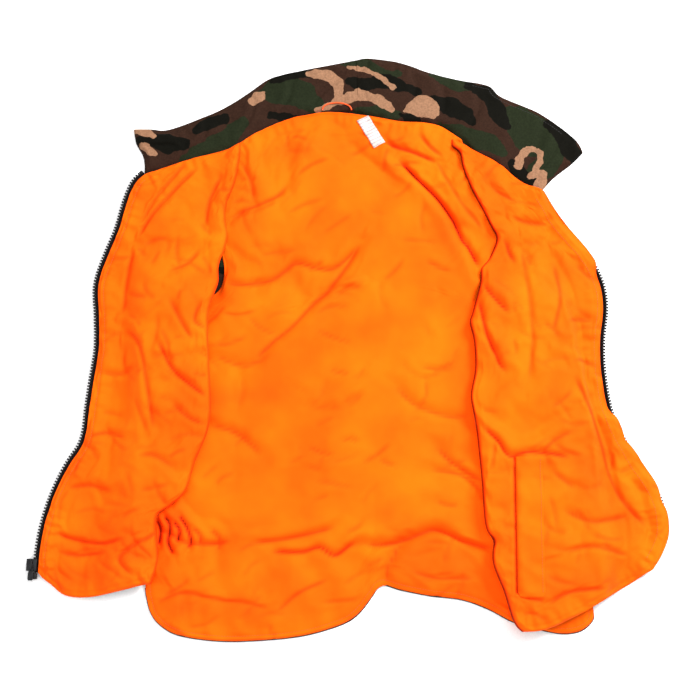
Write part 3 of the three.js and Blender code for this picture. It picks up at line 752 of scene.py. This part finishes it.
rightFront = {
    "columns": 54, "rows": 136, "rim": 1.2, "loft": 9.6, "upper": orange, "under": liningCamo, "fill": 0.35,
    "edges": {
        "hem": smoothLine([(212, -365), (241, -362), (278, -346), (316, -325), (350, -306), (368, -294),
            (377, -289)]),
        "neck": smoothLine([(134, 263), (150, 258), (165, 249), (197, 231), (222, 209), (252, 195)]),
        "left": smoothLine(rightFold + [(169, 73), (170, 91), (176, 98), (184, 110), (191, 130),
            (185, 144), (174, 167), (159, 197), (149, 224), (145, 244), (135, 253), (134, 263)]),
        "right": offsetLine(rightZip, 8 * zipCover(rightZip[:, 1])),
    },
    "rims": {"hem": (12, 0), "neck": (9, 0), "left": (12, 0), "right": (11, 3)},
    "puckers": {"hem": (14, 0.6, 6), "neck": (15, 0.5, 5), "right": (14, 0.9, 12)}, "sewn": "right",
    "edgeShade": {"left": 1.0},
    "folds": [
        fold([(168, 74), (178, 57), (193, 39), (208, 25)], 4, 2, 4),
        fold([(164, 52), (169, 27), (174, 4), (185, -24), (191, -37), (202, -50)], 4, 2.5, 5),
        fold([(194, 132), (203, 122), (207, 110), (216, 92)], 4, 2, 4),
        fold([(282, -48), (286, -57), (305, -100), (317, -139), (325, -173), (344, -209),
            (372, -238)], 3, 2, 6),
        fold([(164, -112), (185, -131), (200, -151), (225, -146), (262, -150), (278, -155)], 4, 2, 4),
        fold([(248, -166), (269, -183), (284, -193)], 2.5, 1.5, 5),
        fold([(234, -154), (257, -131), (286, -117)], 2.5, 1.5, 5),
        fold([(222, 120), (228, 60), (232, 0), (226, -60)], 2, 1.5, 7),
        fold([(262, 100), (268, 50), (256, 0)], 2.5, 1.5, 6),
        fold([(316, 20), (292, 24), (272, 16)], 2.5, 1.5, 5),
        fold([(318, -40), (296, -30), (276, -34)], 2.5, 1.5, 5),
        fold([(180, 206), (196, 190), (222, 176)], 2.5, 1.5, 5),
        fold([(205, 160), (236, 150), (262, 150)], 2.5, 1.5, 5),
        fold([(262, -215), (300, -232), (352, -222)], 2.5, 1.5, 6),
        fold([(262, -270), (300, -262), (350, -274)], 2.5, 1.5, 6),
        fold([(240, -335), (268, -318), (320, -312)], 3, 1.5, 5),
        fold([(206.5, -150), (206.5, -200), (206.5, -260), (206.5, -322)], 4, 0, 3, fade=5),
        fold([(206, -312), (212, -322), (226, -326), (240, -328)], 2.5, 0, 3, fade=5),
    ],
    "crinkles": {"seed": 15, "count": 120, "lean": -25, "vary": 42},
    # painted shade in broad patches: place, half width, half depth, turn and strength
    "shadePatches": [(300, -160, 20, 70, 22, 0.16), (186, -40, 18, 60, 0, 0.2), (190, 60, 22, 40, 0, 0.22),
            (186, 200, 18, 50, 20, 0.16), (262, -310, 80, 16, 12, 0.16), (196, -240, 14, 80, 0, 0.16)],
    "cloth": {"cap": 4.5, "frames": 18},
}
rightPiece = frontPanel("right", rightFront,
                        [(305, -345), (308, -240), (301, -110), (281, 0), (262, 60), (226, 120),
                            (190, 245)],
                        [(342, -330), (346, -240), (326, -140), (303, -60), (295, 20), (277, 90),
                            (240, 140), (208, 235)],
                        "right", "left", -1)
rightBend = {"start": (0.168, 0, 0.02), "end": (0.228, 0.0035, 0.02)}
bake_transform(rightPiece, "back", "right_front", rightBend["start"], rightBend["end"])
print("panels built")


# woodland print on the collar: each stroke is a line of places with the print's half width at each, in mm
collarPrint = {
    "green": [
        [(-214, 238, 5), (-190, 246, 12), (-165, 258, 15), (-148, 274, 12), (-136, 286, 5)],
        [(-112, 326, 8), (-92, 330, 17), (-66, 326, 20), (-44, 312, 13), (-30, 304, 5)],
        [(14, 300, 6), (40, 298, 12), (66, 296, 7)],
        [(-8, 366, 3), (24, 364, 9), (48, 350, 8), (66, 352, 5)],
        [(120, 282, 5), (150, 268, 13), (184, 258, 12), (202, 246, 5)],
        [(196, 300, 7), (222, 288, 22), (246, 262, 27), (262, 238, 17), (240, 214, 14)],
        [(112, 352, 5), (136, 342, 10), (158, 334, 6)],
    ],
    "black": [
        [(-272, 262, 4), (-256, 262, 9), (-232, 258, 13), (-214, 256, 8)],
        [(-196, 276, 4), (-178, 286, 8), (-160, 292, 6)],
        [(-100, 296, 5), (-78, 292, 8), (-58, 290, 4)],
        [(-96, 344, 5), (-70, 352, 7), (-44, 352, 4)],
        [(2, 342, 5), (24, 338, 9), (48, 342, 11), (72, 334, 9), (92, 328, 5)],
        [(70, 296, 5), (80, 292, 8), (88, 288, 6)],
        [(112, 316, 6), (132, 308, 12), (152, 296, 10), (164, 284, 5)],
        [(160, 336, 7), (184, 322, 11), (196, 300, 12), (206, 282, 7)],
        [(262, 284, 6), (282, 262, 12), (296, 240, 10)],
        [(212, 232, 4), (220, 222, 9), (234, 210, 8)],
    ],
    "tan": [
        [(-279, 277, 4.5), (-264, 274, 4.5), (-252, 268, 3)],
        [(-266, 254, 4.5), (-257, 248, 7.5), (-250, 244, 4)],
        [(-124, 315, 6), (-116, 322, 8.5), (-110, 328, 3)],
        [(-52, 353, 3), (-34, 352, 7), (-18, 345, 9), (-12, 332, 7), (-14, 318, 6), (-26, 308, 5),
            (-40, 303, 3)],
        [(-14, 314, 4), (4, 322, 6.5), (22, 323, 6.5), (44, 314, 7.5), (58, 304, 4)],
        [(0, 362, 2.5), (26, 356, 4), (46, 345, 4), (58, 334, 5)],
        [(74, 301, 4), (84, 306, 10), (98, 308, 14), (108, 304, 11)],
        [(222, 229, 4), (226, 243, 6.5), (238, 251, 6.5), (249, 245, 6), (249, 233, 5), (242, 222, 4)],
        [(236, 216, 4), (250, 218, 6), (250, 207, 6.5), (243, 194, 7)],
    ],
}


def collarHalf(side, bottom, top, ends, bend):
    spec = {
        "columns": 74, "rows": 26, "rim": 0.9, "loft": 6.8, "upper": collarCamo, "under": collarCamo,
        "fill": 0.3,
        "edges": {"hem": smoothLine(bottom), "neck": smoothLine(top), "left": smoothLine(ends[0]),
                  "right": smoothLine(ends[1])},
        "rims": {"hem": (8, 5), "neck": (8, 0), "left": (8, 0), "right": (8, 0)},
        "low": lambda xy: np.zeros(len(xy)), "least": 0.8, "folds": collarFolds[side],
        "print": collarPrint, "puckers": {"neck": (16, 0.5, 5)},
        "cloth": {"cap": 2.5, "frames": 12, "shrink": -0.04},
    }
    inner = "right" if side == "left" else "left"
    spec["rims"][inner] = (0, 0)
    obj = paddedPanel(f"collar_{side}_half", spec)
    lengths = ("left", "back") if side == "left" else ("right",)
    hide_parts(*[f"collar_{length}_{layer}" for length in lengths
                       for layer in ("lining", "batting", "outer")])
    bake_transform(obj, "back", f"{side}_front", bend["start"], bend["end"])
    return obj


collarFolds = {
    "left": [
        fold([(-268, 252), (-240, 256), (-215, 254)], 2, 1, 4),
        fold([(-215, 236), (-190, 262), (-182, 288)], 2.5, 1.2, 4),
        fold([(-150, 262), (-128, 290), (-120, 320)], 2.5, 1.5, 4),
        fold([(-100, 290), (-78, 318), (-72, 345)], 2, 1, 4),
        fold([(-50, 305), (-30, 330), (-10, 345)], 2, 1, 4),
    ],
    "right": [
        fold([(60, 300), (86, 322), (90, 350)], 2, 1, 4),
        fold([(118, 290), (126, 318), (120, 345)], 2.5, 1.2, 4),
        fold([(150, 268), (168, 300), (172, 330)], 2.5, 1.5, 4),
        fold([(196, 238), (212, 266), (212, 300)], 2, 1, 4),
        fold([(235, 210), (262, 238), (274, 262)], 2, 1, 4),
    ],
}
collarMiddle = [(12, 296), (12, 335), (12, 374)]
collarLeft = collarHalf(
    "left",
    [(-263, 214), (-236, 222), (-204, 233), (-163, 244), (-138, 253), (-109, 272), (-74, 287), (-50, 293),
        (-23, 296), (12, 296)],
    [(-279, 279), (-257, 279), (-235, 278), (-196, 292), (-163, 307), (-130, 328), (-102, 348),
        (-62, 359), (-23, 367), (12, 374)],
    [[(-263, 214), (-265, 240), (-275, 259), (-279, 279)], collarMiddle],
    leftBend)
collarRight = collarHalf(
    "right",
    [(12, 296), (23, 293), (67, 284), (99, 282), (116, 278), (130, 270), (148, 257), (164, 243),
        (194, 226), (218, 204), (245, 188)],
    [(12, 374), (29, 376), (69, 370), (108, 356), (147, 346), (186, 338), (199, 324), (251, 300),
        (295, 266), (306, 247)],
    [collarMiddle, [(245, 188), (266, 212), (290, 231), (306, 247)]],
    rightBend)
print("collar built")


def placesAlong(line, start, end, pitch):
    total = lineLength(line)
    s = np.arange(start + pitch / 2, min(end, total), pitch)
    here = lineAt(line, s / total)
    heading = lineAt(line, np.minimum(s + 1.5, total) / total) - lineAt(line, np.maximum(s - 1.5, 0) / total)
    return here, heading / np.linalg.norm(heading, axis=1, keepdims=True)


def copies(name, bm, places, headings, heights, material):
    # one mesh holding a copy of a small piece at each place; its +Y follows the heading
    bm.verts.index_update()
    shape = np.array([v.co[:] for v in bm.verts])
    faces = [[v.index for v in face.verts] for face in bm.faces]
    bm.free()
    points, cells = [], []
    for k, ((x, y), (hx, hy), z) in enumerate(zip(places, headings, heights)):
        across, along = shape[:, 0], shape[:, 1]
        turned = np.column_stack([across * hy + along * hx, -across * hx + along * hy, shape[:, 2]])
        points.append(turned + (x, y, z))
        cells += [[v + k * len(shape) for v in face] for face in faces]
    mesh = bpy.data.meshes.new(name)
    mesh.from_pydata(np.concatenate(points) * mm, [], cells)
    mesh.materials.append(material)
    mesh.polygons.foreach_set("use_smooth", [True] * len(mesh.polygons))
    return newObject(name, mesh)


def ringMesh(name, rings, materials, smooth=True):
    # a closed tube through rings of corners
    bm = bmesh.new()
    corners = [[bm.verts.new(corner) for corner in ring] for ring in rings]
    count = len(rings[0])
    for a, b in zip(corners[:-1], corners[1:]):
        for k in range(count):
            bm.faces.new((a[k], a[(k + 1) % count], b[(k + 1) % count], b[k]))
    bm.faces.new(corners[0])
    bm.faces.new(corners[-1])
    bmesh.ops.recalc_face_normals(bm, faces=bm.faces)
    return meshObject(name, bm, materials, smooth)


def thicken(bm, depth):
    made = bmesh.ops.extrude_face_region(bm, geom=list(bm.faces), use_keep_orig=True)["geom"]
    bmesh.ops.translate(bm, vec=(0, 0, -depth * mm),
        verts=[v for v in made if isinstance(v, bmesh.types.BMVert)])
    bmesh.ops.recalc_face_normals(bm, faces=bm.faces)


def block(size, at=(0, 0, 0), bevel=0.0, segments=2, bm=None):
    bm = bm or bmesh.new()
    made = bmesh.ops.create_cube(bm, size=1)["verts"]
    bmesh.ops.scale(bm, vec=size, verts=made)
    bmesh.ops.translate(bm, vec=at, verts=made)
    if bevel:
        edges = {e for v in made for e in v.link_edges}
        bmesh.ops.bevel(bm, geom=list(edges),
            offset=bevel, segments=segments, profile=0.5, affect="EDGES", material=-1)
    return bm


def stitches(name, line, start, end, panel, material=None, pitch=3.4):
    # a row of thread stitches lying in the cloth
    height = topFace(panel)
    places, headings = placesAlong(line, start, end, pitch)
    bm = block((0.55, 2.5, 0.45), bevel=0.18, segments=1)
    heights = [height(x, y) + 0.12 for x, y in places]
    return copies(name, bm, places, headings, heights, material or threadOrange)


def ribbon(name, line, inner, outer, low, high, material, steps=180):
    # a woven tape beside a plan path
    t = np.linspace(0, 1, steps)
    path = lineAt(line, t)
    heading = np.gradient(path, axis=0)
    heading /= np.linalg.norm(heading, axis=1, keepdims=True)
    right = np.column_stack([heading[:, 1], -heading[:, 0]])
    corners = [(inner, low), (outer, low), (outer, high), (inner, high)]
    rings = [[(*((p + r * off) * mm), z * mm) for off, z in corners] for p, r in zip(path, right)]
    return ringMesh(name, rings, [material], smooth=False)


def tooth():
    # a moulded tooth: a clamp round the tape's edge, a neck and a rounded head
    bm = block((2.3, 2.5, 4.3), (-0.9, 0, 0), bevel=0.35, segments=1)
    block((2.3, 2.0, 3.4), (0.95, 0, 0), bevel=0.35, segments=1, bm=bm)
    return bm


zips = {"left": (leftZip, -1, leftPiece, 0), "right": (rightZip, 1, rightPiece, 20)}
for side, (line, out, panel, start) in zips.items():
    total = lineLength(line)
    tape = ribbon(f"{side}_zip_tape", line, -3 * out, 4.7 * out, 4.7, 5.3, tapeBlack)
    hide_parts(f"{side}_zipper_tape")
    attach(tape, f"{side}_front")
    chain = offsetLine(line, 4.9 * out)
    share = lineLength(chain) / total
    places, headings = placesAlong(chain, start * share, (total - 5) * share, 3.9)
    teeth = copies(f"{side}_zip_teeth", tooth(), places, headings * out, [5.0] * len(places), toothBlack)
    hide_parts(f"{side}_zipper_teeth")
    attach(teeth, f"{side}_front")
    stopAt, stopHeading = placesAlong(chain, total * share - 4.6, total * share, 4.5)
    stop = copies(f"{side}_top_stop_piece", block((4.2, 4.4, 4.4), bevel=0.8, segments=3),
        stopAt[:1], stopHeading[:1], [5.0],
                  toothBlack)
    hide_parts(f"{side}_top_stop")
    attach(stop, f"{side}_front")
    seam = stitches(f"{side}_zip_topstitch", offsetLine(line, -7.5 * out), 6, total - 12, panel)
    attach(seam, f"{side}_front")

pinLine = offsetLine(rightZip, 4.4)
pinAt, pinHeading = placesAlong(pinLine, 0.5, 18, 17)
pinPiece = copies("insertion_pin_piece", block((3.2, 17.5, 3.2), bevel=0.9, segments=3),
    pinAt[:1], pinHeading[:1], [5.0],
                  toothBlack)
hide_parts("insertion_pin")
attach(pinPiece, "right_front")


def placePiece(name, bm, at, degrees, material, node, body):
    turn = math.radians(degrees)
    for vert in bm.verts:
        x, y, z = vert.co
        vert.co = ((x * math.cos(turn) - y * math.sin(turn) + at[0]) * mm,
                   (x * math.sin(turn) + y * math.cos(turn) + at[1]) * mm, (z + at[2]) * mm)
    bmesh.ops.recalc_face_normals(bm, faces=bm.faces)
    obj = meshObject(name, bm, [material])
    obj.data.set_sharp_from_angle(angle=math.radians(40))
    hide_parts(node)
    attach(obj, body)
    return obj


# Slider: two shield plates joined by a post, with side flanges that hold the chain.
# Its own X points out from the cloth.
slider = {"x": -389.85, "y": -283.68, "z": 5.0, "turn": 178.1}
sliderAt = (slider["x"], slider["y"], slider["z"])
body = block((13, 15, 1.7), (0, 0, 3.65), bevel=0.7, segments=3)
block((13, 15, 1.7), (0, 0, -3.65), bevel=0.7, segments=3, bm=body)
block((1.3, 6, 6.2), (0, -3.5, 0), bevel=0.4, segments=2, bm=body)
for sideways in (-1, 1):
    for up in (-1, 1):
        block((1.2, 14.4, 2.0), (sideways * 5.8, 0, up * 2.0), bevel=0.35, segments=2, bm=body)
placePiece("slider", body, sliderAt, slider["turn"], enamelBlack, "slider_body", "slider")
arch = block((3, 11, 1.2), (0, 0, 7.6), bevel=0.5, segments=3)
for along in (-1, 1):
    block((3, 2.2, 3.2), (0, along * 4.4, 6.4), bevel=0.5, segments=2, bm=arch)
placePiece("slider_bridge_piece", arch, sliderAt, slider["turn"], enamelBlack, "slider_bridge",
           "slider")


def pullShape():
    # a flat tab with an eye at its root and a rounded grip end with an inset panel
    bm = bmesh.new()
    outline = [(-2.6, -0.8), (2.6, -0.8), (2.9, 3.5), (2.5, 7.6), (3.3, 10.5), (3.3, 17.6), (2.2, 19.2),
        (-2.2, 19.2), (-3.3, 17.6), (-3.3, 10.5), (-2.5, 7.6), (-2.9, 3.5)]
    eye = [(-1.7, 1.0), (1.7, 1.0), (1.8, 3.4), (1.6, 6.0), (1.4, 6.8), (0.9, 7.1), (0.5, 7.2),
        (-0.5, 7.2), (-0.9, 7.1), (-1.4, 6.8), (-1.6, 6.0), (-1.8, 3.4)]
    outer = [bm.verts.new((x, y, 0)) for x, y in outline]
    inner = [bm.verts.new((x, y, 0)) for x, y in eye]
    for k in range(len(outline)):
        m = (k + 1) % len(outline)
        bm.faces.new((outer[k], outer[m], inner[m], inner[k]))
    made = bmesh.ops.extrude_face_region(bm, geom=list(bm.faces))["geom"]
    bmesh.ops.translate(bm, vec=(0, 0, 1.5), verts=[v for v in made if isinstance(v, bmesh.types.BMVert)])
    bmesh.ops.recalc_face_normals(bm, faces=bm.faces)
    sharp = [e for e in bm.edges if e.is_manifold and e.calc_face_angle(0) > 0.8]
    bmesh.ops.bevel(bm, geom=sharp, offset=0.25, segments=2, profile=0.5, affect="EDGES", material=-1)
    return bm


placePiece("pull_tab_piece", pullShape(),
    (slider["x"], slider["y"], 10.15), slider["turn"], enamelBlack, "pull_tab",
           "pull_tab")
box = block((9.6, 7.6, 7.6), bevel=1.2, segments=3)
block((6.4, 1.0, 5.4), (0, -3.6, 0), bevel=0.3, segments=2, bm=box)
placePiece("retainer_box_piece", box, (-388.4, -297.3, 5.0),
    180.9, toothBlack, "retainer_box", "left_front")
print("zips built")


def laidStrip(name, width, length, thickness, at, degrees, surface, lift, materials, columns=14, rows=70,
              corner=0.0, letIn=False):
    # a strip of cloth that follows the surface it lies on; with letIn its right edge is sewn down into it
    turn = math.radians(degrees)
    bm = bmesh.new()
    bmesh.ops.create_grid(bm, x_segments=columns, y_segments=rows, size=0.5)
    layer = []
    for vert in bm.verts:
        u, v = vert.co.x, vert.co.y
        x, y = u * width, v * length
        if corner:
            # rounded lower corners
            drop = max(0, abs(x) - (width / 2 - corner)) / corner
            limit = length / 2 - corner * (1 - math.sqrt(max(0, 1 - drop ** 2)))
            if y < -limit:
                y = -limit
        px = x * math.cos(turn) - y * math.sin(turn) + at[0]
        py = x * math.sin(turn) + y * math.cos(turn) + at[1]
        free = 1 if not letIn else 1 - 0.8 * ease(u + 0.5)
        vert.co = (px * mm, py * mm, (surface(px, py, at[2]) + lift + thickness * free) * mm)
    bmesh.ops.smooth_vert(bm, verts=bm.verts, factor=0.5, use_axis_z=True)
    bmesh.ops.smooth_vert(bm, verts=bm.verts, factor=0.5, use_axis_z=True)
    thicken(bm, thickness)
    return meshObject(name, bm, materials)


rightTop = topFace(rightPiece)
welt = {"width": 33, "length": 172, "thickness": 1.3, "at": (224, -238, 31), "turn": 0}
weltPiece = laidStrip("pocket_welt_piece", *welt.values(), rightTop, 0.1, [orange], corner=7, letIn=True)
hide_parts("pocket_welt")
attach(weltPiece, "pocket_welt")
weltSeam = stitches("pocket_welt_stitching", smoothLine([(237.5, -318), (237.5, -155)]), 0, 163, weltPiece)
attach(weltSeam, "pocket_welt")

backTop = topFace(backPiece)
label = {"width": 17, "length": 44, "thickness": 0.45, "at": (30.3, 272.3, 9.5), "turn": 30}
labelPiece = laidStrip("care_label_piece", *label.values(), backTop, 0.9, [labelWhite], columns=10, rows=22)
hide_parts("care_label")
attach(labelPiece, "care_label")

# Hanger loop: a thin orange cord arch sewn into the neck seam
loop = {"x": -14, "y": 303, "span": 38, "rise": 10, "radius": 0.9}
collarTopHeight = topFace(collarLeft)
loopPath = [(loop["x"] - loop["span"] / 2 * math.cos(math.pi * k / 24),
    loop["y"] + loop["rise"] * math.sin(math.pi * k / 24))
            for k in range(25)]
loopPath = [(x, y, max(collarTopHeight(x, y, 7), 6.6) + loop["radius"] + 0.2) for x, y in loopPath]
rings = []
for k, p in enumerate(loopPath):
    a, b = Vector(loopPath[max(0, k - 1)]), Vector(loopPath[min(24, k + 1)])
    ahead = (b - a).normalized()
    sideways = ahead.cross(Vector((0, 0, 1))).normalized()
    up = sideways.cross(ahead)
    turns = [2 * math.pi * j / 10 for j in range(10)]
    ring = [Vector(p) + (sideways * math.cos(t) + up * math.sin(t)) * loop["radius"] for t in turns]
    rings.append([q * mm for q in ring])
loopPiece = ringMesh("hanger_loop_piece", rings, [threadOrange])
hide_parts("hanger_loop")
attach(loopPiece, "back")

# Camouflage lining rolled out along the tail edge, and the tail's topstitching
hemLine = back["edges"]["hem"]


def rolledEdge(name, line, start, end, radius, height, material):
    total = lineLength(line)
    path = lineAt(line, np.linspace(start, end, int((end - start) * total / 3)))
    heading = np.gradient(path, axis=0)
    heading /= np.linalg.norm(heading, axis=1, keepdims=True)
    rings = []
    for p, h in zip(path, heading):
        outward = np.array([h[1], -h[0]])
        ring = []
        for j in range(8):
            t = 2 * math.pi * j / 8
            q = p + outward * (math.cos(t) * radius)
            ring.append((q[0] * mm, q[1] * mm, (height + math.sin(t) * radius) * mm))
        rings.append(ring)
    return ringMesh(name, rings, [material])


edgePiece = rolledEdge("tail_lining_edge", hemLine, 0.01, 0.99, 1.0, 1.1, liningCamo)
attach(edgePiece, "back")
facing = laidStrip("armhole_lining_edge", 30, 78, 0.6, (-171, 88, 0.4),
    0, lambda x, y, z: 0, 0.3, [liningCamo], columns=6,
                   rows=16)
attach(facing, "back")
tailSeam = stitches("tail_topstitch", offsetLine(hemLine, -6), 4, lineLength(hemLine) - 8, backPiece)
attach(tailSeam, "back")
collarEdge = offsetLine(smoothLine([(150, 346), (186, 338), (199, 324), (251, 300), (295, 266)]), 7)
collarSeam = stitches("collar_edge_stitching", collarEdge, 14, 150, collarRight, threadBlack)
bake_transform(collarSeam, "back", "right_front", rightBend["start"], rightBend["end"])
print("trim built")


# Pocket bag: two sheets of lining inside the right front, sewn round three sides and open under the welt
def bagSheet(name, node, depthInside, left):
    bm = bmesh.new()
    bmesh.ops.create_grid(bm, x_segments=20, y_segments=36, size=0.5)
    for vert in bm.verts:
        x, y = left + (vert.co.x + 0.5) * (292 - left), -232 + vert.co.y * 160
        vert.co = (x * mm, y * mm, (rightTop(x, y, 30) - depthInside) * mm)
    for _ in range(3):
        bmesh.ops.smooth_vert(bm, verts=bm.verts, factor=0.5, use_axis_z=True)
    thicken(bm, 0.4)
    obj = meshObject(name, bm, [liningCamo])
    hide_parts(node)
    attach(obj, "right_front")
    return obj


bagSheet("pocket_bag_back", "pocket_bag_inner", 5.5, 204)
bagSheet("pocket_bag_front", "pocket_bag_outer", 2.6, 214)

# The waist elastic is out of sight and keeps its own shape
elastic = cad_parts["back_waist_elastic"]
elastic.data.materials.clear()
elastic.data.materials.append(elasticWhite)


def stage():
    bm = bmesh.new()
    bmesh.ops.create_grid(bm, x_segments=1, y_segments=1, size=4)
    floor = meshObject("floor", bm, [plainMaterial("pale_paper", "#FBFBFB", 0.9)])
    floor.location.z = -0.0006
    lights = [
        ("key", (1.6, 1.1, 1.6), 1.1, 95),
        ("fill", (-1.6, -0.9, 2.0), 2.2, 26),
        ("top", (0.2, 0.3, 2.8), 2.4, 40),
    ]
    for name, place, size, power in lights:
        data = bpy.data.lights.new(name, "AREA")
        data.shape = "DISK"
        data.size = size
        data.energy = power
        lamp = newObject(name, data)
        lamp.location = place
        lamp.rotation_euler = (-Vector(place)).to_track_quat("-Z", "Y").to_euler()
    world = bpy.context.scene.world or bpy.data.worlds.new("world")
    bpy.context.scene.world = world
    world.use_nodes = True
    sky = world.node_tree.nodes["Background"]
    sky.inputs[0].default_value = (1, 1, 1, 1)
    sky.inputs[1].default_value = 0.6
    bpy.context.scene.view_settings.view_transform = "Standard"


def camera():
    shot = {"elevation": 80, "distance": 1.9, "lens": 76.9, "aim": (0.003, -0.013, 0.0)}
    data = bpy.data.cameras.new("camera")
    data.lens = shot["lens"]
    data.sensor_width = 36
    cam = newObject("camera", data)
    up = math.radians(shot["elevation"])
    aim = Vector(shot["aim"])
    cam.location = aim + Vector((0, -math.cos(up), math.sin(up))) * shot["distance"]
    cam.rotation_euler = (aim - cam.location).to_track_quat("-Z", "Y").to_euler()
    bpy.context.scene.camera = cam


stage()
camera()
